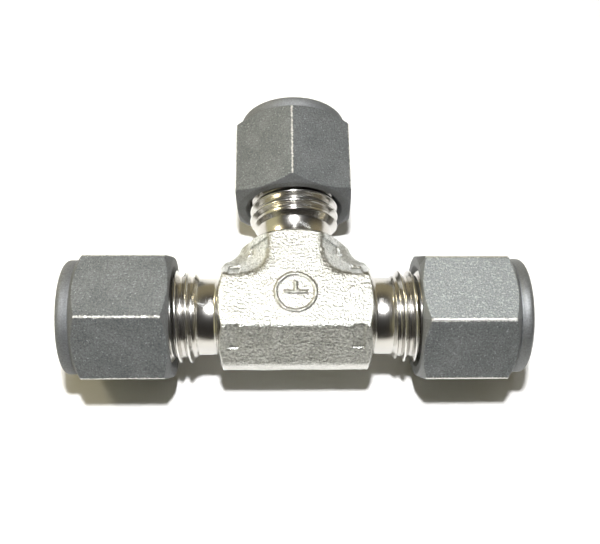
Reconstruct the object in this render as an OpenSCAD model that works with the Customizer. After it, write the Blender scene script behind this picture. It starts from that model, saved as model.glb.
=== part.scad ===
// Union tee for 1/4 inch tube: a forged body with three threaded ports, and on each port
// a hexagon nut that presses a single ferrule onto the tube.
// The three port axes cross at the origin. The run lies along X, the branch points to +Y
// and the flat faces of the forging face up and down.
// Everything on a port is modelled in the port's own frame, with +Z along the port and
// away from the centre, and heights measured from the centre.

/* [Tube] */
// Outer diameter of the tube that each port takes
tube_d = 6.35; // [6.2:0.05:6.4]
// Diameter of the flow passage
flow_d = 4.8; // [3:0.1:5]

/* [Body] */
// Centre to the machined end faces of the forging
body_end = 9; // [8.6:0.1:9.2]
// Width of the forging at its parting line
body_w = 13; // [12.4:0.1:13.2]
// Thickness between the two flat faces of the forging
body_t = 11.2; // [10.8:0.1:11.6]
// Width of the flat faces
flat_w = 6.6; // [5.8:0.1:7]
// Height of the upright band along the parting line
band_h = 1.8; // [1:0.1:2.4]
// Thickness of the webs along their concave edges
web_edge_t = 2.8; // [2:0.1:3.6]
// Centre to the end of each port
port_end = 20.2; // [19.9:0.1:20.4]
// Centre to the stop that the tube rests on
tube_stop = 11.7; // [11:0.1:12.5]
// Diameter of the smooth neck behind each thread
neck_d = 9.2; // [9.1:0.1:9.4]

/* [Thread] */
// Diameter over the crests of the port thread
thread_d = 11; // [10.9:0.05:11.1]
// Distance between neighbouring crests
pitch = 1.27; // [1.1:0.01:1.3]
// Radial gap between the threads of the port and of the nut
thread_gap = 0.12; // [0.1:0.01:0.14]
// Facets in one turn of a thread
thread_facets = 24; // [16:4:32]

/* [Nut] */
// Width across the flats of each nut
nut_flats = 14.29; // [14.1:0.01:14.4]
// Length of each nut
nut_len = 12.7; // [12.4:0.1:12.8]
// Centre to the outer end of a finger-tight nut
nut_end = 27.1; // [26.9:0.1:27.2]
// Diameter of the round collar at the outer end
collar_d = 13.6; // [12.8:0.1:13.8]
// Length of the collar
collar_len = 1.45; // [1.2:0.05:2.5]
// Turn of the left, right and branch nuts on their threads, in degrees
nut_turns = [39, 24.5, 28]; // [0:0.5:60]

/* [Ferrule] */
// Diameter of the ferrule's barrel
ferrule_d = 8.6; // [8.5:0.05:8.7]

/* [Marks] */
// Depth or height of the forged marks on the body
mark_h = 0.25; // [0.1:0.05:0.3]

/* [Hidden] */

$fn = 72;
eps = 0.01;

// The three ports, and for each the rotation that carries its frame into the tee's frame,
// the turn of the forging's section in that frame and the angle where its thread starts
LEFT = 0;
RIGHT = 1;
BRANCH = 2;
PORTS = [LEFT, RIGHT, BRANCH];
port_rotation = [[0, -90, 0], [0, 90, 0], [-90, 0, 0]];
section_turn = [90, 90, 0];
thread_start = [33, 241, 200];

steel = "gainsboro";
coated = "dimgray";

// Thread
thread_angle = 60;                       // between the flanks
ridge_h = 0.66;                          // height of a thread ridge
core_d = thread_d - 2 * ridge_h;         // port diameter at the thread's root
nut_major_d = thread_d + 2 * thread_gap; // nut bore at the thread's root
port_crest_w = pitch / 8;
nut_crest_w = pitch / 4;
flank_gap = 0.03;                        // taken off both flanks of each ridge
run_out = 0.6;                           // turns over which a ridge fades at either end
ridge_bury = 0.3;                        // how far a ridge reaches into the part it stands on
neck_end = body_end + 2.3;
thread_z = body_end + 2.48;              // where the port's ridge starts
thread_end = port_end - 0.65;
port_turns = floor((thread_end - thread_z) / pitch * thread_facets) / thread_facets;

// Sealing faces: the mouth of a port is a cone, and the ferrule's nose matches it
socket_d = tube_d + 0.09;
ferrule_bore_d = tube_d + 0.06;
nut_bore_d = tube_d + 0.2;
seat_angle = 20;                         // half-angle of the mouth
mouth_d = 8.4;
seat_len = (mouth_d - socket_d) / 2 / tan(seat_angle);
seat_gap = 0.04;                         // left between the faces when finger-tight
nose_z = port_end - 1.9;
nose_d = mouth_d - 2 * (port_end - nose_z) * tan(seat_angle) - 2 * seat_gap / cos(seat_angle);
barrel_z = nose_z + (ferrule_d - nose_d) / 2 / tan(seat_angle);
heel_d = 7;                              // outer end of the ferrule, after its bevel
heel_z = nut_end - 3.35;
bevel_z = heel_z - (ferrule_d - heel_d) / 2;

// Nut
nut_start = nut_end - nut_len;
nut_corner_d = nut_flats / cos(30);
nut_face_d = 14;                         // round face left by the chamfer at the thread end
nut_mouth_d = nut_major_d + 0.9;
nut_relief_z = port_end + 1.8;           // room for the port when the nut is pulled up
nut_seat_d = 9.8;                        // wide end of the cone that presses on the ferrule
nut_seat_z = heel_z + seat_gap * sqrt(2) - (nut_seat_d - heel_d) / 2;
nut_throat_z = nut_seat_z + (nut_seat_d - nut_bore_d) / 2;
collar_z = nut_end - collar_len;
collar_round = 0.55;
shoulder_d = collar_d - 0.4;             // foot of the hexagon's outer chamfer, a fine groove
shoulder_slope = tan(33);
nut_first_turn = ceil((nut_start + 0.9 - thread_z - pitch / 2) / pitch * thread_facets) / thread_facets;
nut_last_turn = nut_first_turn + 4.5;

// Forging
side_slope = (body_w - flat_w) / (body_t - band_h); // sideways run of a slanted side per height
web_t = 6;                               // thickness of the webs at their thickest
web_r = body_end - body_w / 2;           // concave outline of the webs
web_slope = tan(35);
corner_r = 2;                            // fillet between the slanted sides of run and branch
end_face_d = 11.2;                       // round face left by the chamfer on each end
clamp_w = 1.3;                           // small recesses in the slanted sides, near the ends
clamp_x = 7.2;
clamp_depth = 0.2;
clamp_front_z = 2.9;                     // foot of the recesses on the front
clamp_web_z = 2.6;                       // foot of those above the webs

// Puts its children onto port p
module on_port(p) {
    rotate(port_rotation[p]) children();
}

// Sweeps a thread ridge along the port's right-handed helix, from turn t0 to turn t1. The
// ridge stands on radius root_r, reaches tip_r and sinks into its root at both ends.
module helix_ridge(root_r, tip_r, crest_w, t0, t1, angle0, z_offset = 0) {
    inward = tip_r < root_r;
    side = inward ? -1 : 1;
    base_r = root_r - side * ridge_bury;
    sunk_r = base_r + side * 0.02;
    base_w = crest_w + 2 * abs(tip_r - base_r) * tan(thread_angle / 2) - 2 * flank_gap;
    steps = round((t1 - t0) * thread_facets);
    last = 4 * steps;

    // Share of the full height at step k, from 0 at the ends to 1
    function rise(k) = min(1, min(k, steps - k) / (run_out * thread_facets));
    function at(k, r, dz) =
        let (t = t0 + k / thread_facets)
        [r * cos(angle0 + 360 * t), r * sin(angle0 + 360 * t), thread_z + z_offset + pitch * t + dz];
    function ring(k) =
        let (r = sunk_r + rise(k) * (tip_r - sunk_r), w = crest_w - 2 * flank_gap * (1 - rise(k)))
        [at(k, base_r, -base_w / 2), at(k, r, -w / 2), at(k, r, w / 2), at(k, base_r, base_w / 2)];
    function turned(f) = inward ? [f[0], f[2], f[1]] : f;

    flanks = [for (k = [0:steps - 1], i = [0:3])
        let (a = 4 * k + i, b = 4 * k + (i + 1) % 4)
        each [turned([a, b, b + 4]), turned([a, b + 4, a + 4])]];
    caps = [turned([0, 2, 1]), turned([0, 3, 2]),
            turned([last, last + 1, last + 2]), turned([last, last + 2, last + 3])];
    polyhedron([for (k = [0:steps]) each ring(k)], concat(flanks, caps));
}

// Section of the run and of the branch: flat above and below, slanted sides, and a narrow
// upright band where the two halves of the forging meet
module forging_section() {
    polygon([[flat_w, body_t] / 2, [-flat_w, body_t] / 2,
             [-body_w, band_h] / 2, [-body_w, -band_h] / 2,
             [-flat_w, -body_t] / 2, [flat_w, -body_t] / 2,
             [body_w, -band_h] / 2, [body_w, band_h] / 2]);
}

// Fillet down one of the corners between run and branch, on the side x > 0, z > 0
module corner_fillet() {
    tilt = atan(side_slope * sqrt(2));
    half_corner = acos(-pow(sin(atan(side_slope)), 2)) / 2;
    reach = corner_r / tan(half_corner);
    centre = corner_r / sin(half_corner);
    intersection() {
        translate([flat_w / 2, flat_w / 2, body_t / 2])
            rotate([0, -tilt, 45])
            translate([0, 0, -body_t])
            difference() {
                linear_extrude(2 * body_t)
                    polygon([[-1, 0],
                             [reach * cos(half_corner), -reach * sin(half_corner)],
                             [centre, 0],
                             [reach * cos(half_corner), reach * sin(half_corner)]]);
                translate([centre, 0, -1]) cylinder(h = 2 * body_t + 2, r = corner_r);
            }
        translate([0, 0, band_h / 4]) cube([body_end, body_end, body_t / 2 - band_h / 4]);
    }
}

// Web in the corner between run and branch, on the side x > 0, thinner towards its edge
module web() {
    difference() {
        translate([0, 0, -web_t / 2]) cube([body_end, body_end, web_t]);
        translate([body_end, body_end, 0]) {
            cylinder(h = web_t + 2, r = web_r, center = true);
            for (below = [0, 1])
                mirror([0, 0, below])
                    translate([0, 0, web_edge_t / 2])
                    cylinder(h = web_t, r1 = web_r, r2 = web_r + web_t / web_slope);
        }
    }
}

// Everything outside the turned chamfer on one end of the forging
module end_chamfer_cut() {
    depth = 1.6;
    translate([0, 0, body_end - depth])
        difference() {
            cylinder(h = depth + 1, d = 2 * body_w);
            translate([0, 0, -eps])
                cylinder(h = depth + 2 * eps, d1 = end_face_d + 2 * depth / tan(30), d2 = end_face_d);
        }
}

// Small recess with a ledge at its foot, in a slanted side that faces -Y, at distance x
module clamp_recess(x, foot) {
    slant = atan(side_slope);
    translate([x - clamp_w / 2, -flat_w / 2 - (body_t / 2 - foot) * side_slope, foot])
        rotate([-slant, 0, 0])
        translate([0, -1, 0])
        cube([clamp_w, 1 + clamp_depth, body_t]);
}

// The six recesses above the parting line: two in front, two behind and two on the branch
module clamp_recesses() {
    for (side = [-1, 1]) {
        clamp_recess(side * clamp_x, clamp_front_z);
        mirror([0, 1, 0]) clamp_recess(side * clamp_x, clamp_web_z);
        rotate([0, 0, side * 90]) clamp_recess(side * clamp_x, clamp_web_z);
    }
}

// Generic raised mark: a ring around the outline of a tee
module mark() {
    arm = 1.35;
    bar = 0.45;
    translate([0, 0.8, body_t / 2 - eps])
        linear_extrude(mark_h + eps) {
            difference() {
                circle(d = 5);
                circle(d = 4.3);
            }
            square([2 * arm, bar], center = true);
            translate([-bar / 2, 0]) square([bar, arm]);
        }
}

module forging() {
    difference() {
        union() {
            for (p = PORTS)
                on_port(p)
                    rotate(section_turn[p]) linear_extrude(body_end) forging_section();
            for (side = [0, 1], below = [0, 1])
                mirror([side, 0, 0]) mirror([0, 0, below]) corner_fillet();
            for (side = [0, 1])
                mirror([side, 0, 0]) web();
        }
        for (p = PORTS)
            on_port(p) end_chamfer_cut();
        for (below = [0, 1])
            mirror([0, 0, below]) clamp_recesses();
    }
    mark();
}

// Smooth neck and threaded core of a port
module port_core() {
    foot = 0.4;
    ramp = (core_d - neck_d) / 2;
    lip = 0.35;
    rotate_extrude()
        polygon([[0, body_end - 1], [neck_d / 2 + foot, body_end - 1],
                 [neck_d / 2 + foot, body_end], [neck_d / 2, body_end + foot],
                 [neck_d / 2, neck_end], [core_d / 2, neck_end + ramp],
                 [core_d / 2, port_end - lip], [core_d / 2 - lip, port_end], [0, port_end]]);
}

// Tube socket with its coned mouth
module socket_cut() {
    translate([0, 0, tube_stop]) cylinder(h = port_end, d = socket_d);
    translate([0, 0, port_end - seat_len]) cylinder(h = seat_len, d1 = socket_d, d2 = mouth_d);
    translate([0, 0, port_end - eps]) cylinder(h = 1, d = mouth_d);
}

module tee_body() {
    color(steel) {
        difference() {
            union() {
                forging();
                for (p = PORTS)
                    on_port(p) port_core();
            }
            for (p = PORTS)
                on_port(p) socket_cut();
            rotate([0, 90, 0]) cylinder(h = 2 * tube_stop + 1, d = flow_d, center = true);
            on_port(BRANCH) cylinder(h = tube_stop + 0.5, d = flow_d);
        }
        for (p = PORTS)
            on_port(p)
                helix_ridge(core_d / 2, thread_d / 2, port_crest_w, 0, port_turns, thread_start[p]);
    }
}

// Outline of a nut before its hexagon is milled: chamfers, collar and rounded outer edge
module nut_turning() {
    wide = nut_corner_d / 2 + 1;
    rotate_extrude() {
        polygon([[0, nut_start], [nut_face_d / 2, nut_start],
                 [wide, nut_start + (wide - nut_face_d / 2) * tan(30)],
                 [wide, collar_z - (wide - shoulder_d / 2) * shoulder_slope],
                 [shoulder_d / 2, collar_z], [collar_d / 2, collar_z + 0.15],
                 [collar_d / 2, nut_end - collar_round],
                 [collar_d / 2 - collar_round, nut_end - collar_round],
                 [collar_d / 2 - collar_round, nut_end], [0, nut_end]]);
        translate([collar_d / 2 - collar_round, nut_end - collar_round]) circle(r = collar_round);
    }
}

// Inside of a nut: thread bore, room for the end of the port, cone and tube hole
module nut_cut() {
    mouth = (nut_mouth_d - nut_major_d) / 2;
    chamfer = 0.4;
    rotate_extrude()
        polygon([[0, nut_start - 1], [nut_mouth_d / 2 + 1, nut_start - 1],
                 [nut_major_d / 2, nut_start + mouth], [nut_major_d / 2, nut_relief_z],
                 [nut_seat_d / 2, nut_relief_z], [nut_seat_d / 2, nut_seat_z],
                 [nut_bore_d / 2, nut_throat_z], [nut_bore_d / 2, nut_end - chamfer],
                 [nut_bore_d / 2 + chamfer + 1, nut_end + 1], [0, nut_end + 1]]);
}

module nut(p) {
    color(coated)
        on_port(p) {
            difference() {
                intersection() {
                    rotate(nut_turns[p])
                        translate([0, 0, nut_start - 1])
                        cylinder(h = nut_len + 2, d = nut_corner_d, $fn = 6);
                    nut_turning();
                }
                nut_cut();
            }
            helix_ridge(nut_major_d / 2, nut_major_d / 2 - ridge_h, nut_crest_w,
                        nut_first_turn, nut_last_turn, thread_start[p], pitch / 2);
        }
}

module ferrule(p) {
    color(steel)
        on_port(p)
            rotate_extrude()
                polygon([[ferrule_bore_d / 2, nose_z], [nose_d / 2, nose_z],
                         [ferrule_d / 2, barrel_z], [ferrule_d / 2, bevel_z],
                         [heel_d / 2, heel_z], [ferrule_bore_d / 2, heel_z]]);
}

module left_nut() {
    nut(LEFT);
}

module right_nut() {
    nut(RIGHT);
}

module branch_nut() {
    nut(BRANCH);
}

module left_ferrule() {
    ferrule(LEFT);
}

module right_ferrule() {
    ferrule(RIGHT);
}

module branch_ferrule() {
    ferrule(BRANCH);
}

tee_body();
left_nut();
right_nut();
branch_nut();
left_ferrule();
right_ferrule();
branch_ferrule();
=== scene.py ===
"""Union tee for 1/4 inch tube: one forged body, three nuts and three ferrules, on a pale floor.

Shapes are worked out in millimetres. Whatever belongs to a port is worked out in the port's own
frame: +Z along the port and away from the centre, heights from the centre, as in the CAD source.
"""

import math

import bpy
import numpy as np
import openvdb
from mathutils import Matrix, Vector


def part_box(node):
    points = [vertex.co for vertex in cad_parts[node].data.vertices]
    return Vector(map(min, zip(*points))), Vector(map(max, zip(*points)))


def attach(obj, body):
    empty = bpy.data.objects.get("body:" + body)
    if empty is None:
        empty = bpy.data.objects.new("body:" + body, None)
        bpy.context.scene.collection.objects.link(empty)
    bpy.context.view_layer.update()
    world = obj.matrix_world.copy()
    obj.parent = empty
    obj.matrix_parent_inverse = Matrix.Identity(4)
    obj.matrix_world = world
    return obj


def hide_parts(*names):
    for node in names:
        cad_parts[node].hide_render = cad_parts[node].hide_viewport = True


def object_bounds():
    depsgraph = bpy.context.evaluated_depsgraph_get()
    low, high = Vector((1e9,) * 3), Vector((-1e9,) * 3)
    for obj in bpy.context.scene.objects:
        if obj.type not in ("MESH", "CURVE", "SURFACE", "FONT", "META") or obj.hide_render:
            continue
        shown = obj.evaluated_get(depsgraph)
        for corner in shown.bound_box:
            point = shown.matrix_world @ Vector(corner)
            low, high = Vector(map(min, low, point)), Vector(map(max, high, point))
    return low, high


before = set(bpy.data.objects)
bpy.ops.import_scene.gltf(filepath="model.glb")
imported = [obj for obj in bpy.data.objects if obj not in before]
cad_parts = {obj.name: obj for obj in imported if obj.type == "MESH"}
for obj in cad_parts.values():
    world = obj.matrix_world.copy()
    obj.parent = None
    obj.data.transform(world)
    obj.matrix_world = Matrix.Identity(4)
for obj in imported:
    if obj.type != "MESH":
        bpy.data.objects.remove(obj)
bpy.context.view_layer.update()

MM = 0.001
TAN30 = math.tan(math.radians(30))
PORTS = ("left", "right", "branch")

# A port's frame in the tee's frame, the turn of its nut and the angle where its thread starts.
TURN_TO_PORT = {
    "left": Matrix.Rotation(math.radians(-90), 3, "Y"),
    "right": Matrix.Rotation(math.radians(90), 3, "Y"),
    "branch": Matrix.Rotation(math.radians(-90), 3, "X"),
}
NUT_TURN = {"left": 39.0, "right": 24.5, "branch": 28.0}
THREAD_START = {"left": 33.0, "right": 241.0, "branch": 200.0}
NUT_WEAR = {"left": 0.3, "right": 1.0, "branch": 0.0}
# How strongly each nut's upper flat is lightened as a painted sheen.
NUT_TOP_SHEEN = {"left": 0.15, "right": 1.0, "branch": 0.0}


def axial_span(node):
    """Lowest and highest coordinate of a CAD node along its port, in mm, measured outwards."""
    low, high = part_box(node)
    axis = 1 if node.startswith("branch") else 0
    near, far = sorted((abs(low[axis]), abs(high[axis])))
    return near / MM, far / MM


NUT_START, NUT_END = axial_span("right_nut")
NOSE, HEEL = axial_span("right_ferrule")
PORT_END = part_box("tee_body")[1][0] / MM
BODY_END = 9.0
NECK_END = BODY_END + 2.3

# Forging: half sizes of its section, the webs between its arms, its clamp recesses and its mark.
HALF_W, HALF_T, HALF_FLAT, HALF_BAND = 6.5, 5.6, 3.3, 0.9
WEB_HALF_T, WEB_EDGE_HALF_T, WEB_SLOPE = 3.0, 1.4, math.radians(35)
END_FLAT_R, END_CHAMFER = 5.6, math.radians(30)
CLAMP, CLAMP_HALF_W, CLAMP_DEPTH, FRONT_CLAMP_Z, WEB_CLAMP_Z = 7.2, 0.65, 0.2, 2.9, 2.6
MARK_Y, MARK_RING_R, MARK_HALF_LINE, MARK_H = 0.8, 2.3, 0.16, 0.2

# Widths of the roundings between the forging's faces.
EDGE_ROUND, BAND_ROUND, ARM_FILLET = 0.45, 0.3, 2.6
WEB_ROUND, WEB_FILLET, MARK_FILLET = 0.5, 0.35, 0.16

# Bores and necks. A port's mesh starts inside a pocket in the forging.
FLOW_R, SOCKET_R, NECK_R = 2.4, 3.22, 4.6
POCKET_Z, POCKET_R, PORT_START = 8.6, 3.5, 8.5
MOUTH_R, MOUTH_Z, TUBE_STOP = 4.2, 17.5, 11.7

# Thread.
PITCH = 1.27
THREAD_Z = BODY_END + 2.48
CORE_R, CREST_R = 4.84, 5.5
CORE_CHAMFER = 0.45
NUT_MAJOR_R, NUT_MINOR_R = 5.62, 4.96
CREST_HALF_FLAT, NUT_CREST_HALF_FLAT = 0.08, 0.13

# Nut.
FLATS = 14.29
COLLAR_R, COLLAR_Z, COLLAR_ROUND = 6.8, NUT_END - 1.45, 0.55
INNER_FACE_R, OUTER_CHAMFER = 7.0, math.radians(33)
NUT_CHAMFER = 0.45
NUT_BORE_R, SEAT_R = 3.275, 4.9
RELIEF_Z = PORT_END + 1.8
SEAT_Z = HEEL + 0.057 - (SEAT_R - 3.5)
THROAT_Z = SEAT_Z + SEAT_R - NUT_BORE_R


# ---------------------------------------------------------------- shape helpers


def smooth_max(a, b, k):
    """Larger of a and b, with the crossing rounded over a width of k."""
    h = np.maximum(k - np.abs(a - b), 0) / k
    return np.maximum(a, b) + h * h * k / 4


def smooth_min(a, b, k):
    """Smaller of a and b, with the crossing rounded over a width of k."""
    return -smooth_max(-a, -b, k)


def near(distance, width):
    """1 where distance is 0, falling to 0 at width."""
    return np.clip(1 - np.abs(distance) / width, 0, 1)


def waves(p, seed, length, count=7):
    """Smooth, repeatable unevenness of about unit height, from waves in random directions."""
    rng = np.random.default_rng(seed)
    total = np.zeros(p.shape[:-1])
    for _ in range(count):
        direction = rng.normal(size=3)
        direction *= 2 * math.pi / (length * rng.uniform(0.7, 1.5) * np.linalg.norm(direction))
        total += np.sin(p @ direction + rng.uniform(0, 6.3))
    return total / math.sqrt(count)


def make_object(name, points, faces, attributes=None):
    """Object from points in mm, with smooth shading and one value per point for each attribute."""
    mesh = bpy.data.meshes.new(name)
    mesh.from_pydata((np.asarray(points) * MM).tolist(), [], np.asarray(faces).tolist())
    for key, values in (attributes or {}).items():
        layer = mesh.attributes.new(key, "FLOAT", "POINT")
        layer.data.foreach_set("value", np.ascontiguousarray(values, dtype=np.float32).ravel())
    mesh.polygons.foreach_set("use_smooth", [True] * len(mesh.polygons))
    mesh.update()
    obj = bpy.data.objects.new(name, mesh)
    bpy.context.scene.collection.objects.link(obj)
    return obj


def closed_turning(name, port, radius, height, theta, attributes):
    """Closed shape on a port's axis. radius, height and each attribute hold one row per loop
    around the axis and one column per angle; the last row joins the first."""
    rows, cols = radius.shape
    local = np.stack([radius * np.cos(theta), radius * np.sin(theta), height], axis=-1)
    points = local.reshape(-1, 3) @ np.array(TURN_TO_PORT[port]).T
    i, j = np.meshgrid(np.arange(rows), np.arange(cols), indexing="ij")
    i2, j2 = (i + 1) % rows, (j + 1) % cols
    faces = np.stack([i * cols + j, i * cols + j2, i2 * cols + j2, i2 * cols + j], axis=-1)
    obj = make_object(name, points, faces.reshape(-1, 4), attributes)
    weighted = obj.modifiers.new("shading", "WEIGHTED_NORMAL")
    weighted.weight = 50
    return obj


def softened(corners, radius=0.05):
    """Points along the line through corners of (radius, height), with each inner corner rounded."""
    out = [corners[0]]
    for a, b, c in zip(corners, corners[1:], corners[2:]):
        a, b, c = (np.array(p, float) for p in (a, b, c))
        to_a, to_c = a - b, c - b
        reach = min(radius, 0.45 * np.linalg.norm(to_a), 0.45 * np.linalg.norm(to_c))
        start = b + to_a / np.linalg.norm(to_a) * reach
        end = b + to_c / np.linalg.norm(to_c) * reach
        for t in (0, 0.25, 0.5, 0.75, 1):
            out.append(tuple((1 - t) ** 2 * start + 2 * t * (1 - t) * b + t * t * end))
    out.append(corners[-1])
    return np.array(out)


def off_helix(theta, height, port, shift=0.0):
    """Axial distance from the thread's crest line, from -PITCH / 2 to PITCH / 2."""
    start = math.radians(THREAD_START[port])
    turns = (height - THREAD_Z - shift) / PITCH - (theta - start) / (2 * math.pi)
    return (turns - np.round(turns)) * PITCH


# ---------------------------------------------------------------- body


def slanted_side(width, az):
    """Distance outside the slanted side that runs from the flat's edge to the band."""
    run, drop = HALF_W - HALF_FLAT, HALF_T - HALF_BAND
    size = math.hypot(run, drop)
    return ((width - HALF_FLAT) * drop + (az - HALF_T) * run) / size


def forging_ends(ax, y, rx, ry):
    """Distance outside the turned ends of the run and of the branch, chamfers included."""

    def end(r, h):
        chamfer = (r - END_FLAT_R) * math.sin(END_CHAMFER) + (h - BODY_END) * math.cos(END_CHAMFER)
        return smooth_max(h - BODY_END, chamfer, 0.08)

    return np.maximum(end(rx, ax), end(ry, y))


def web_parts(ax, y, az):
    """Distances outside the web that joins run and branch, and outside its sloping top."""
    arc_r = BODY_END - HALF_W
    arc = arc_r - np.hypot(BODY_END - ax, BODY_END - y)
    top = (az - WEB_EDGE_HALF_T) * math.cos(WEB_SLOPE) + arc * math.sin(WEB_SLOPE)
    web = np.maximum(smooth_max(top, arc, WEB_ROUND), az - WEB_HALF_T)
    return np.maximum(web, -y), top


def clamp_recesses(ax, y, az, run_slant, branch_slant):
    """For each kind of clamp recess: distance outside it, and how near its foot is."""
    beside_x, beside_y = np.abs(ax - CLAMP) - CLAMP_HALF_W, np.abs(y - CLAMP) - CLAMP_HALF_W
    kinds = ((beside_x, run_slant, FRONT_CLAMP_Z, y),
             (beside_x, run_slant, WEB_CLAMP_Z, -y),
             (beside_y, branch_slant, WEB_CLAMP_Z, -y))
    for beside, slant, foot, wrong_side in kinds:
        recess = np.maximum(np.maximum(beside, foot - az), np.maximum(-(slant + CLAMP_DEPTH), wrong_side))
        yield recess, near(az - foot, 0.3) * near(slant + CLAMP_DEPTH / 2, 0.3) * (beside < 0.1)


def mark_plan(x, y):
    """Distance outside the outline of the generic mark: a ring around a tee."""

    def bar(cx, cy, hx, hy):
        return np.maximum(np.abs(x - cx) - hx, np.abs(y - cy) - hy)

    ring = np.abs(np.hypot(x, y - MARK_Y) - MARK_RING_R) - MARK_HALF_LINE
    tee = np.minimum(bar(0, MARK_Y, 1.3, 0.17), bar(0, MARK_Y + 0.6, 0.17, 0.7))
    return np.minimum(ring, tee)


def raised_mark(x, y, z):
    """Distance outside the mark as it stands on the top face."""
    mark = smooth_max(mark_plan(x, y), z - (HALF_T + MARK_H), 0.22)
    return np.maximum(mark, HALF_T - 1 - z)


def passages(ax, y, rx, ry):
    """Distance outside the passages and the pockets for the ports' meshes."""
    run = np.minimum(rx - FLOW_R, np.maximum(rx - POCKET_R, POCKET_Z - ax))
    branch = np.maximum(ry - FLOW_R, -y)
    branch = np.minimum(branch, np.maximum(ry - POCKET_R, POCKET_Z - y))
    return np.minimum(run, branch)


def forging_parts(p):
    """Distance outside the forging at points p, and how much of each feature is there."""
    x, y, z = p[..., 0], p[..., 1], p[..., 2]
    ax, az = np.abs(x), np.abs(z)
    rx, ry = np.hypot(y, z), np.hypot(x, z)

    top = az - HALF_T
    run_slant, branch_slant = slanted_side(np.abs(y), az), slanted_side(ax, az)
    run = smooth_max(run_slant, np.abs(y) - HALF_W, BAND_ROUND)
    branch = np.maximum(smooth_max(branch_slant, ax - HALF_W, BAND_ROUND), -y)
    sides = smooth_min(run, branch, ARM_FILLET)
    web, web_top = web_parts(ax, y, az)
    outside = smooth_min(smooth_max(top, sides, EDGE_ROUND), web, WEB_FILLET)
    outside = outside + 0.018 * waves(p, 3, 3.2) + 0.006 * waves(p, 5, 1.1)

    # Painted shade: a thin dark line along the junction of the sides and the web, and at the feet of the
    # clamp recesses.
    painted_crease_shade = near(np.hypot(sides, web_top), 0.25)
    for recess, at_foot in clamp_recesses(ax, y, az, run_slant, branch_slant):
        outside = smooth_max(outside, -recess, 0.1)
        painted_crease_shade = np.maximum(painted_crease_shade, at_foot)
    outside = smooth_min(outside, raised_mark(x, y, z), MARK_FILLET)
    ends = forging_ends(ax, y, rx, ry)
    bores = passages(ax, y, rx, ry)
    shape = np.maximum(smooth_max(outside, ends, 0.1), -bores)

    face = np.clip((top + 0.25) / 0.2, 0, 1)
    band = near(np.abs(y) - HALF_W, 0.16) + near(ax - HALF_W, 0.16) * (y > 0)
    features = {
        "machined": np.maximum(near(ends, 0.12), near(bores, 0.12)),
        "band": band * (az < 1.4),
        "rim": near(top - sides, 0.7) * near(top, 0.6) * np.clip(y - 1, 0, 1),
        "painted_crease_shade": painted_crease_shade * (y > 0),
        "face": face,
        # Painted reflection: the rear faces below the top are marked for brightening.
        "painted_rear_reflection": np.clip(y - 2.5, 0, 1) * (1 - face),
        # Painted shade round the foot of the raised mark.
        "painted_shade": near(top, 0.35) * near(mark_plan(x, y) - 0.08, 0.16) * (z > 0),
    }
    return shape, features


def vdb_surface(low, high, voxel):
    """Mesh of the forging's surface, made on a grid and then drawn onto the exact surface."""
    axes = [np.arange(a, b + voxel, voxel) for a, b in zip(low, high)]
    shape = np.empty([len(a) for a in axes], np.float32)
    for i, x in enumerate(axes[0]):
        slab = np.stack(np.meshgrid([x], axes[1], axes[2], indexing="ij"), axis=-1)
        shape[i] = forging_parts(slab)[0][0]
    grid = openvdb.FloatGrid(3.0)
    grid.copyFromArray(shape)
    points, triangles, quads = grid.convertToPolygons(isovalue=0.0, adaptivity=0.0)
    points = np.array(points, float) * voxel + np.array(low)
    step = 0.02
    for _ in range(2):
        value = forging_parts(points)[0]
        slope = np.stack([
            (forging_parts(points + step * e)[0] - forging_parts(points - step * e)[0]) / (2 * step)
            for e in np.eye(3)], axis=-1)
        size = np.maximum((slope ** 2).sum(-1), 0.25)
        move = -(value / size)[:, None] * slope
        points += np.clip(move, -voxel / 2, voxel / 2)
    return points, np.array(quads)


def outward(points, quads):
    """The same faces, wound so that their normals point out of the solid."""
    a, b, c = (points[quads[:, k]] for k in (0, 1, 2))
    volume = np.einsum("ij,ij->i", a, np.cross(b, c)).sum()
    return quads if volume > 0 else quads[:, ::-1]


def make_forging():
    margin = 0.4
    low = (-BODY_END - margin, -HALF_W - margin, -HALF_T - margin)
    high = (BODY_END + margin, BODY_END + margin, HALF_T + margin + 0.3)
    points, quads = vdb_surface(low, high, 0.105)
    return make_object("tee_forging", points, outward(points, quads), forging_parts(points)[1])


def port_thread(theta, port):
    """Radius and height of a port's outside, from the neck's end to the port's end."""
    height = np.arange(BODY_END + 2.35, PORT_END - 0.01, 0.052)[:, None] + 0 * theta
    dz = off_helix(theta, height, port)
    ridge = CREST_R - (np.abs(dz) - CREST_HALF_FLAT) / TAN30
    ridge = smooth_max(smooth_min(ridge, CREST_R, 0.08), CORE_R, 0.1)
    blank = np.minimum(NECK_R + (height - BODY_END - 2.3), CORE_R - CORE_CHAMFER + (PORT_END - height))
    return smooth_min(ridge, blank, 0.06), height


def make_port(port):
    """Neck, thread and socket of a port, from inside the forging to the port's end."""
    theta = np.linspace(0, 2 * math.pi, 168, endpoint=False)
    ring = np.ones_like(theta)
    bore_r, foot_r = FLOW_R + 0.01, 4.9
    foot = softened([(bore_r, PORT_START), (foot_r, PORT_START), (foot_r, BODY_END + 0.08),
                     (4.72, BODY_END + 0.2), (NECK_R, BODY_END + 0.42), (NECK_R, NECK_END)])
    mouth = softened([(CORE_R - CORE_CHAMFER, PORT_END), (MOUTH_R, PORT_END), (SOCKET_R, MOUTH_Z),
                      (SOCKET_R, TUBE_STOP), (bore_r, TUBE_STOP), (bore_r, PORT_START)])[:-1]
    threaded, height = port_thread(theta, port)

    radius = np.concatenate([foot[:, :1] * ring, threaded, mouth[:, :1] * ring])
    heights = np.concatenate([foot[:, 1:] * ring, height, mouth[:, 1:] * ring])
    crest = np.concatenate([0 * foot[:, :1] * ring, near(threaded - CREST_R, 0.12), 0 * mouth[:, :1] * ring])
    attributes = {"edge": crest, "along": heights, "machined": 1 + 0 * heights}
    return closed_turning(port + "_port", port, radius, heights, theta, attributes)


# ---------------------------------------------------------------- nuts and ferrules


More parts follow.
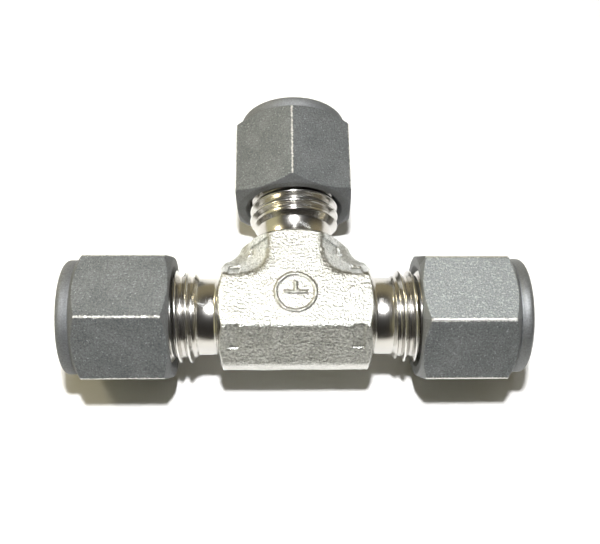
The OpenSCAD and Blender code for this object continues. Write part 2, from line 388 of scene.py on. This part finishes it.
def nut_angles(port):
    """Angles around a nut, closer together at the corners of its hexagon."""
    per_side = 36
    u = np.arange(6 * per_side) / per_side
    clustered = u - 0.75 * np.sin(2 * math.pi * u) / (2 * math.pi)
    return np.radians(NUT_TURN[port] + 60 * clustered)


def nut_outside(theta, height, port):
    """Radius of the nut's hexagon with its chamfers, and where its edges are."""
    a = np.degrees(theta) - NUT_TURN[port]
    a = np.radians((a % 60) - 30)
    flat = FLATS / 2 / np.cos(a)
    next_flat = FLATS / 2 / np.cos(math.radians(60) - np.abs(a))
    hexagon = smooth_min(flat, next_flat, 0.24)
    inner = INNER_FACE_R + (height - NUT_START) / TAN30
    outer = COLLAR_R - 0.2 + (COLLAR_Z - height) / math.tan(OUTER_CHAMFER)
    cones = np.minimum(inner, outer)
    radius = smooth_min(hexagon, cones, 0.14)
    corner = near(flat - next_flat, 0.6) * (cones > hexagon - 0.1)
    rim = 0.45 * near(hexagon - cones, 0.3)
    return radius, np.maximum(corner, rim), (cones < hexagon).astype(float)


def nut_end_line():
    """Line of (radius, height) from the collar over the outer end and in to the thread's relief."""
    bend = [(COLLAR_R - COLLAR_ROUND + COLLAR_ROUND * math.sin(t),
             NUT_END - COLLAR_ROUND + COLLAR_ROUND * math.cos(t))
            for t in np.radians(np.arange(90, -1, -11.25))]
    return softened([(COLLAR_R, COLLAR_Z + 0.15), *bend, (NUT_BORE_R + 0.4, NUT_END),
                     (NUT_BORE_R, NUT_END - 0.4), (NUT_BORE_R, THROAT_Z), (SEAT_R, SEAT_Z),
                     (SEAT_R, RELIEF_Z), (NUT_MAJOR_R, RELIEF_Z), (NUT_MAJOR_R, RELIEF_Z - 0.1)])


def nut_thread(theta, port):
    """Radius and height of a nut's thread, from the relief to the chamfer at its inner end."""
    height = np.arange(RELIEF_Z - 0.2, NUT_START + 0.5, -0.075)[:, None] + 0 * theta
    dz = off_helix(theta, height, port, PITCH / 2)
    ridge = NUT_MINOR_R + (np.abs(dz) - NUT_CREST_HALF_FLAT) / TAN30
    ridge = smooth_min(smooth_max(ridge, NUT_MINOR_R, 0.1), NUT_MAJOR_R, 0.08)
    mouth = NUT_MAJOR_R + NUT_CHAMFER - (height - NUT_START)
    runout = NUT_MAJOR_R - 3 * (RELIEF_Z - 0.7 - height)
    threaded = np.maximum(ridge, np.maximum(mouth, runout))
    return np.minimum(threaded, np.maximum(mouth, NUT_MAJOR_R)), height


def make_nut(port):
    """Hexagon nut with its collar, bore, ferrule seat and thread."""
    theta = nut_angles(port)
    ring = np.ones_like(theta)
    bands = ((NUT_START, NUT_START + 0.85, 30), (NUT_START + 0.85, COLLAR_Z - 1.3, 34))
    height = [np.linspace(low, high, rows, endpoint=False) for low, high, rows in bands]
    height.append(np.linspace(COLLAR_Z - 1.3, COLLAR_Z, 40))
    height = np.concatenate(height)[:, None] * ring
    outside, edge, turned = nut_outside(theta, height, port)
    end_r, end_z = (side[:, None] * ring for side in nut_end_line().T)
    threaded, inside = nut_thread(theta, port)
    mouth = softened([(NUT_MAJOR_R, NUT_START + NUT_CHAMFER), (NUT_MAJOR_R + NUT_CHAMFER, NUT_START),
                      (INNER_FACE_R - 0.05, NUT_START)])[1:]
    mouth_r, mouth_z = (side[:, None] * ring for side in mouth.T)

    radius = np.concatenate([outside, end_r, threaded, mouth_r])
    heights = np.concatenate([height, end_z, inside, mouth_z])
    lip = near(end_r - (COLLAR_R - 0.16), 0.2) * near(end_z - (NUT_END - 0.16), 0.3)
    in_bore = (end_r < NUT_BORE_R + 0.3) | (end_z < THROAT_Z)
    upper_flat = np.abs(np.degrees(theta) - NUT_TURN[port] - 150) < 30
    attributes = {
        "edge": np.concatenate([edge, 0.6 * lip, 0 * inside, 0 * mouth_r]),
        "turned": np.concatenate([turned, 1 + 0 * end_r, 1 + 0 * inside, 1 + 0 * mouth_r]),
        # The bore, seat and thread, which get painted shade.
        "inside": np.concatenate([0 * height, in_bore, 1 + 0 * inside, 0 * mouth_r]),
        "along": heights,
        # Painted sheen on the hexagon's upper flat.
        "painted_top_sheen": NUT_TOP_SHEEN[port] * upper_flat * (radius > COLLAR_R),
    }
    return closed_turning(port + "_nut_shell", port, radius, heights, theta, attributes)


def make_ferrule(port):
    """Loose ring between the port's mouth and the nut's seat, with a tapered nose."""
    theta = np.linspace(0, 2 * math.pi, 96, endpoint=False)
    ring = np.ones_like(theta)
    bore = 3.205
    nose_r, barrel_r, heel_r = 3.466, 4.3, 3.5
    slope = math.tan(math.radians(20))
    barrel = NOSE + (barrel_r - nose_r) / slope
    line = [(bore, (NOSE + HEEL) / 2), (bore, NOSE), (nose_r, NOSE), (barrel_r, barrel),
            (barrel_r, HEEL - (barrel_r - heel_r)), (heel_r, HEEL), (bore, HEEL), (bore, (NOSE + HEEL) / 2)]
    profile = softened(line, 0.06)[:-1]
    heights = profile[:, 1:] * ring
    attributes = {"along": heights, "edge": 0 * heights, "machined": 1 + 0 * heights}
    return closed_turning(port + "_ferrule_ring", port, profile[:, :1] * ring, heights, theta, attributes)


# ---------------------------------------------------------------- materials


class Nodes:
    """Short calls for building one material's nodes."""

    def __init__(self, name):
        self.material = bpy.data.materials.new(name)
        self.material.use_nodes = True
        self.tree = self.material.node_tree
        self.shader = self.tree.nodes["Principled BSDF"]
        self.position = self.add("ShaderNodeTexCoord").outputs["Object"]

    def add(self, kind, **settings):
        node = self.tree.nodes.new(kind)
        for key, value in settings.items():
            setattr(node, key, value)
        return node

    def link(self, value, socket):
        if isinstance(value, bpy.types.NodeSocket):
            self.tree.links.new(value, socket)
        else:
            socket.default_value = value

    def attribute(self, name):
        return self.add("ShaderNodeAttribute", attribute_name=name).outputs["Fac"]

    def math(self, operation, a, b=0.0, clamp=False):
        node = self.add("ShaderNodeMath", operation=operation, use_clamp=clamp)
        self.link(a, node.inputs[0])
        self.link(b, node.inputs[1])
        return node.outputs[0]

    def noise(self, scale_per_mm, detail=3.0, roughness=0.5, stretch=(1, 1, 1), distortion=0.0):
        where = self.add("ShaderNodeMapping")
        self.link(self.position, where.inputs["Vector"])
        where.inputs["Scale"].default_value = [s / MM * scale_per_mm for s in stretch]
        node = self.add("ShaderNodeTexNoise")
        self.link(where.outputs[0], node.inputs["Vector"])
        node.inputs["Scale"].default_value = 1.0
        node.inputs["Detail"].default_value = detail
        node.inputs["Roughness"].default_value = roughness
        node.inputs["Distortion"].default_value = distortion
        return node.outputs["Fac"]

    def line_noise(self, value, scale, detail=2.0):
        node = self.add("ShaderNodeTexNoise", noise_dimensions="1D")
        self.link(value, node.inputs["W"])
        node.inputs["Scale"].default_value = scale
        node.inputs["Detail"].default_value = detail
        return node.outputs["Fac"]

    def ramp(self, value, *stops):
        node = self.add("ShaderNodeValToRGB")
        self.link(value, node.inputs["Fac"])
        ramp = node.color_ramp
        while len(ramp.elements) < len(stops):
            ramp.elements.new(0.5)
        for element, (place, colour) in zip(ramp.elements, stops):
            element.position = place
            element.color = (*colour, 1) if isinstance(colour, tuple) else (colour, colour, colour, 1)
        return node.outputs["Color"]

    def mix(self, share, a, b, blend="MIX"):
        node = self.add("ShaderNodeMix", data_type="RGBA", blend_type=blend)
        self.link(share, node.inputs["Factor"])
        for value, socket in ((a, node.inputs["A"]), (b, node.inputs["B"])):
            self.link((*value, 1) if isinstance(value, tuple) else value, socket)
        return node.outputs["Result"]

    def blend(self, share, a, b):
        node = self.add("ShaderNodeMix", data_type="FLOAT")
        self.link(share, node.inputs["Factor"])
        self.link(a, node.inputs["A"])
        self.link(b, node.inputs["B"])
        return node.outputs["Result"]

    def bump(self, height, depth_mm):
        node = self.add("ShaderNodeBump")
        node.inputs["Strength"].default_value = 1.0
        node.inputs["Distance"].default_value = depth_mm * MM
        self.link(height, node.inputs["Height"])
        return node.outputs["Normal"]

    def finish(self, colour, roughness, normal, metallic=1.0):
        self.link(colour, self.shader.inputs["Base Color"])
        self.link(roughness, self.shader.inputs["Roughness"])
        self.link(normal, self.shader.inputs["Normal"])
        self.link(metallic, self.shader.inputs["Metallic"])
        return self.material


def forged_steel():
    """Stainless steel with the pebbled skin of a forging, smoother and brighter where machined."""
    n = Nodes("forged_steel")
    machined = n.attribute("machined")
    band = n.attribute("band")
    # Painted shade: dark lines round the mark's foot, along the web's junction and at the clamp recesses'
    # feet.
    painted_shade = n.math("MAXIMUM", n.attribute("painted_shade"), n.math("MULTIPLY", n.attribute("painted_crease_shade"), 1.5))
    rim = n.math("MULTIPLY", n.attribute("rim"), n.math("ADD", 0.35, n.noise(2.5, detail=4)))
    pebbles = n.noise(3.2, detail=2, roughness=0.55)
    grain = n.noise(8, detail=3, roughness=0.6)
    blotches = n.noise(0.55, detail=4, roughness=0.6)
    pits = n.ramp(n.noise(5.5, detail=5, roughness=0.68), (0.34, 0.0), (0.43, 1.0))

    colour = n.ramp(blotches, (0.3, (0.53, 0.535, 0.505)), (0.7, (0.63, 0.635, 0.61)))
    # Painted reflection: rear faces brightened towards pale bluish white, for the bright room behind.
    colour = n.mix(n.attribute("painted_rear_reflection"), colour, (0.92, 0.95, 0.96))
    skin = n.ramp(n.noise(3.6, detail=6, roughness=0.75), (0.36, 0.45), (0.62, 1.22))
    plain = n.math("MAXIMUM", machined, n.math("MULTIPLY", n.attribute("face"), 0.6))
    colour = n.mix(n.math("SUBTRACT", 1.0, plain, clamp=True), colour, skin, "MULTIPLY")
    colour = n.mix(n.math("MULTIPLY", n.math("SUBTRACT", 1.0, pits), 0.5), colour, (0.22, 0.21, 0.19))
    # The painted shade, with darkening along the rear part of the top face's edge, mixed towards dark
    # brown-grey.
    painted_shade_and_rim_darkening = n.math("MAXIMUM", n.math("MULTIPLY", painted_shade, 0.6), rim, clamp=True)
    colour = n.mix(painted_shade_and_rim_darkening, colour, (0.2, 0.195, 0.165))
    shine = n.math("MAXIMUM", machined, n.math("MULTIPLY", band, 0.7), clamp=True)
    colour = n.mix(shine, colour, (0.78, 0.77, 0.74))

    rough = n.math("ADD", 0.30, n.math("MULTIPLY", grain, 0.16))
    rough = n.blend(machined, rough, 0.22)
    height = n.math("ADD", pebbles, n.math("MULTIPLY", grain, 0.25))
    height = n.math("MULTIPLY", height, n.math("SUBTRACT", 1.0, n.math("MULTIPLY", shine, 0.75)))
    return n.finish(colour, rough, n.bump(height, 0.18))


def turned_steel(name, colour, roughness):
    """Bright turned stainless steel, with the fine rings that a lathe leaves."""
    n = Nodes(name)
    along = n.attribute("along")
    rings = n.line_noise(along, 9.0, detail=5)
    smears = n.noise(0.8, detail=3)
    darker = tuple(0.8 * c for c in colour)
    tint = n.mix(n.math("MULTIPLY", smears, 0.5), colour, darker)
    tint = n.mix(n.attribute("edge"), tint, (0.86, 0.85, 0.83))
    rough = n.math("ADD", roughness, n.math("MULTIPLY", rings, 0.12))
    return n.finish(tint, rough, n.bump(rings, 0.006))


def nut_coating(name, worn):
    """Matte grey dry-film coating over blasted steel, worn bright along the edges. worn, from
    0 to 1, is how much of the steel's grain shows through."""
    n = Nodes(name)
    turned = n.attribute("turned")
    inside = n.attribute("inside")
    painted_top_sheen = n.attribute("painted_top_sheen")
    grain = n.noise(5, detail=4, roughness=0.7)
    fine = n.noise(11, detail=2)
    cloud = n.noise(0.35, detail=5, roughness=0.6)
    # Painted sheen: more bright flecks on the upper flat.
    flecks = n.math("ADD", n.noise(4.2, detail=3, roughness=0.7), n.math("MULTIPLY", painted_top_sheen, 0.08))
    flecks = n.ramp(flecks, (0.60, 0.0), (0.70, 1.0))

    colour = n.ramp(cloud, (0.32, (0.153, 0.165, 0.17)), (0.68, (0.212, 0.225, 0.23)))
    speckle = n.ramp(grain, (0.36, (0.62, 0.62, 0.63)), (0.62, (1.2, 1.2, 1.2)))
    colour = n.mix(1.0, colour, speckle, "MULTIPLY")
    # Painted sheen: the upper flat lightened towards bluish grey.
    colour = n.mix(n.math("MULTIPLY", painted_top_sheen, 0.32), colour, (0.50, 0.54, 0.56))
    fleck_share = n.math("SUBTRACT", 0.6, n.math("MULTIPLY", turned, 0.45))
    colour = n.mix(n.math("MULTIPLY", flecks, fleck_share), colour, (0.62, 0.66, 0.66))
    stretched = n.noise(1.1, detail=3, roughness=0.7, stretch=(1, 0.12, 0.5), distortion=0.6)
    scratches = n.ramp(stretched, (0.70, 0.0), (0.72, 1.0))
    colour = n.mix(n.math("MULTIPLY", scratches, 0.5), colour, (0.1, 0.1, 0.1))
    colour = n.mix(n.math("MULTIPLY", turned, 0.35), colour, (0.24, 0.24, 0.245))

    breakup = n.math("ADD", n.math("MULTIPLY", n.noise(4.2, detail=4, roughness=0.7), 1.1), -0.55)
    wear = n.math("ADD", n.attribute("edge"), breakup)
    wear = n.ramp(wear, (0.72 - 0.2 * worn, 0.0), (0.98 - 0.2 * worn, 1.0))
    colour = n.mix(wear, colour, (0.82, 0.82, 0.80))
    # Painted shade: the bore, the ferrule seat and the thread inside the nut are darkened towards near
    # black.
    colour = n.mix(n.math("MULTIPLY", inside, 0.6), colour, (0.12, 0.12, 0.12))

    rough = n.math("ADD", 0.44 - 0.06 * worn, n.math("MULTIPLY", grain, 0.2))
    rough = n.blend(n.math("MULTIPLY", turned, 1 - worn), rough, 0.66)
    rough = n.blend(wear, rough, 0.32)
    height = n.math("ADD", grain, n.math("MULTIPLY", fine, 0.35))
    depth = n.math("SUBTRACT", 1.0, n.math("MULTIPLY", n.math("MAXIMUM", turned, wear), 0.7))
    metal = n.math("ADD", 0.65, n.math("MULTIPLY", n.math("MAXIMUM", wear, flecks), 0.15))
    return n.finish(colour, rough, n.bump(n.math("MULTIPLY", height, depth), 0.12), metal)


def floor_paper():
    """Plain pale paper, a little uneven in tone."""
    n = Nodes("floor_paper")
    tone = n.ramp(n.noise(0.05, detail=2), (0.3, (0.90, 0.90, 0.89)), (0.7, (0.93, 0.93, 0.925)))
    grain = n.noise(2.0, detail=3)
    return n.finish(tone, 0.9, n.bump(grain, 0.01), metallic=0.0)


# ---------------------------------------------------------------- stage


def add_floor():
    """Plain floor under the lowest point of the fitting."""
    half = 0.6
    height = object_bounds()[0].z
    mesh = bpy.data.meshes.new("floor")
    corners = [(-half, -half, height), (half, -half, height), (half, half, height), (-half, half, height)]
    mesh.from_pydata(corners, [], [(0, 1, 2, 3)])
    floor = bpy.data.objects.new("floor", mesh)
    bpy.context.scene.collection.objects.link(floor)
    mesh.materials.append(floor_paper())


def add_light(name, place, size, power, colour=(1, 1, 1)):
    """Rectangular lamp at place, turned towards the middle of the fitting."""
    data = bpy.data.lights.new(name, "AREA")
    data.shape = "RECTANGLE"
    data.size, data.size_y = size
    data.energy = power
    data.color = colour
    light = bpy.data.objects.new(name, data)
    light.location = place
    light.rotation_mode = "QUATERNION"
    light.rotation_quaternion = (-Vector(place)).to_track_quat("-Z", "Y")
    bpy.context.scene.collection.objects.link(light)


def add_surroundings():
    """The room as light: dark in front and to the right, tan behind and brighter to the left."""
    world = bpy.data.worlds.new("studio")
    world.use_nodes = True
    bpy.context.scene.world = world
    tree = world.node_tree
    where = tree.nodes.new("ShaderNodeTexCoord")
    split = tree.nodes.new("ShaderNodeSeparateXYZ")
    tree.links.new(where.outputs["Generated"], split.inputs[0])

    def ramp(source, *stops):
        node = tree.nodes.new("ShaderNodeValToRGB")
        tree.links.new(source, node.inputs[0])
        while len(node.color_ramp.elements) < len(stops):
            node.color_ramp.elements.new(0.5)
        for element, (at, colour) in zip(node.color_ramp.elements, stops):
            element.position = at
            element.color = (*colour, 1)
        return node.outputs["Color"]

    def across(axis, low, high, a, b):
        """Colour a where the direction's coordinate is low, turning into b where it is high."""
        side = tree.nodes.new("ShaderNodeMapRange")
        side.inputs["From Min"].default_value = low
        side.inputs["From Max"].default_value = high
        tree.links.new(split.outputs[axis], side.inputs["Value"])
        mix = tree.nodes.new("ShaderNodeMix")
        mix.data_type = "RGBA"
        tree.links.new(side.outputs[0], mix.inputs["Factor"])
        tree.links.new(a, mix.inputs["A"])
        tree.links.new(b, mix.inputs["B"])
        return mix.outputs["Result"]

    height = split.outputs["Z"]
    ceiling, upper_wall, left_wall = (0.045, 0.043, 0.04), (0.07, 0.06, 0.04), (0.64, 0.60, 0.36)
    front = ramp(height, (0.0, (0.05, 0.045, 0.04)), (0.5, (0.03, 0.027, 0.024)), (1.0, ceiling))
    back = ramp(height, (0.0, (0.36, 0.31, 0.20)), (0.5, (0.30, 0.26, 0.16)), (0.8, upper_wall),
                (1.0, ceiling))
    left = ramp(height, (0.0, left_wall), (0.55, left_wall), (0.85, upper_wall), (1.0, ceiling))
    room = across("Y", -0.2, 0.3, front, back)
    room = across("X", -0.75, -0.45, left, room)
    tree.links.new(room, tree.nodes["Background"].inputs["Color"])


def add_camera():
    """Camera above the front of the fitting, a little to its left, aimed behind its centre."""
    azimuth, elevation, roll = (math.radians(a) for a in (-2.87, 68.8, 2.44))
    distance, aim_right, aim_up = (MM * size for size in (103.75, 0.59, 5.31))
    back = Vector((math.sin(azimuth) * math.cos(elevation), -math.cos(azimuth) * math.cos(elevation),
                   math.sin(elevation)))
    level = Vector((0, 0, 1)).cross(back).normalized()
    right = Matrix.Rotation(roll, 3, back) @ level
    aim = aim_right * right + aim_up * back.cross(right)
    data = bpy.data.cameras.new("camera")
    data.lens, data.sensor_width = 51.78, 36
    data.clip_start, data.clip_end = 0.005, 10
    camera = bpy.data.objects.new("camera", data)
    camera.location = distance * back
    backwards = (camera.location - aim).normalized()
    right = (right - right.dot(backwards) * backwards).normalized()
    camera.rotation_mode = "QUATERNION"
    axes = Matrix((right, backwards.cross(right), backwards)).transposed()
    camera.rotation_quaternion = axes.to_quaternion()
    bpy.context.scene.collection.objects.link(camera)
    bpy.context.scene.camera = camera


# ---------------------------------------------------------------- assembly


def place(obj, body, material, slot, node=None):
    """Give a piece its material and body, and hide the CAD node that it stands for. slot is not used."""
    obj.data.materials.append(material)
    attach(obj, body)
    if node:
        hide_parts(node)


def main():
    forged = forged_steel()
    turned = turned_steel("turned_steel", (0.66, 0.645, 0.62), 0.14)
    ring_steel = turned_steel("ferrule_steel", (0.68, 0.67, 0.65), 0.2)
    coatings = {port: nut_coating("nut_coating_" + port, worn) for port, worn in NUT_WEAR.items()}

    place(make_forging(), "tee", forged, "forged_steel", "tee_body")
    for port in PORTS:
        place(make_port(port), "tee", turned, "forged_steel")
        place(make_nut(port), port + "_nut_body", coatings[port], "nut_coating", port + "_nut")
        place(make_ferrule(port), port + "_ferrule_body", ring_steel, "ferrule_steel", port + "_ferrule")

    add_floor()
    add_light("key", (-0.003, 0.0, 0.155), (0.010, 0.010), 0.33)
    add_light("strip_above", (0.0, 0.067, 0.42), (0.022, 0.31), 0.12)
    add_light("strip_right", (0.25, 0.15, 0.38), (0.005, 0.30), 0.06, (0.92, 0.97, 1.0))
    add_light("warm_left", (-0.30, 0.20, 0.24), (0.08, 0.08), 0.45, (1.0, 0.88, 0.60))
    add_surroundings()
    add_camera()
    bpy.context.scene.view_settings.view_transform = "Standard"


main()
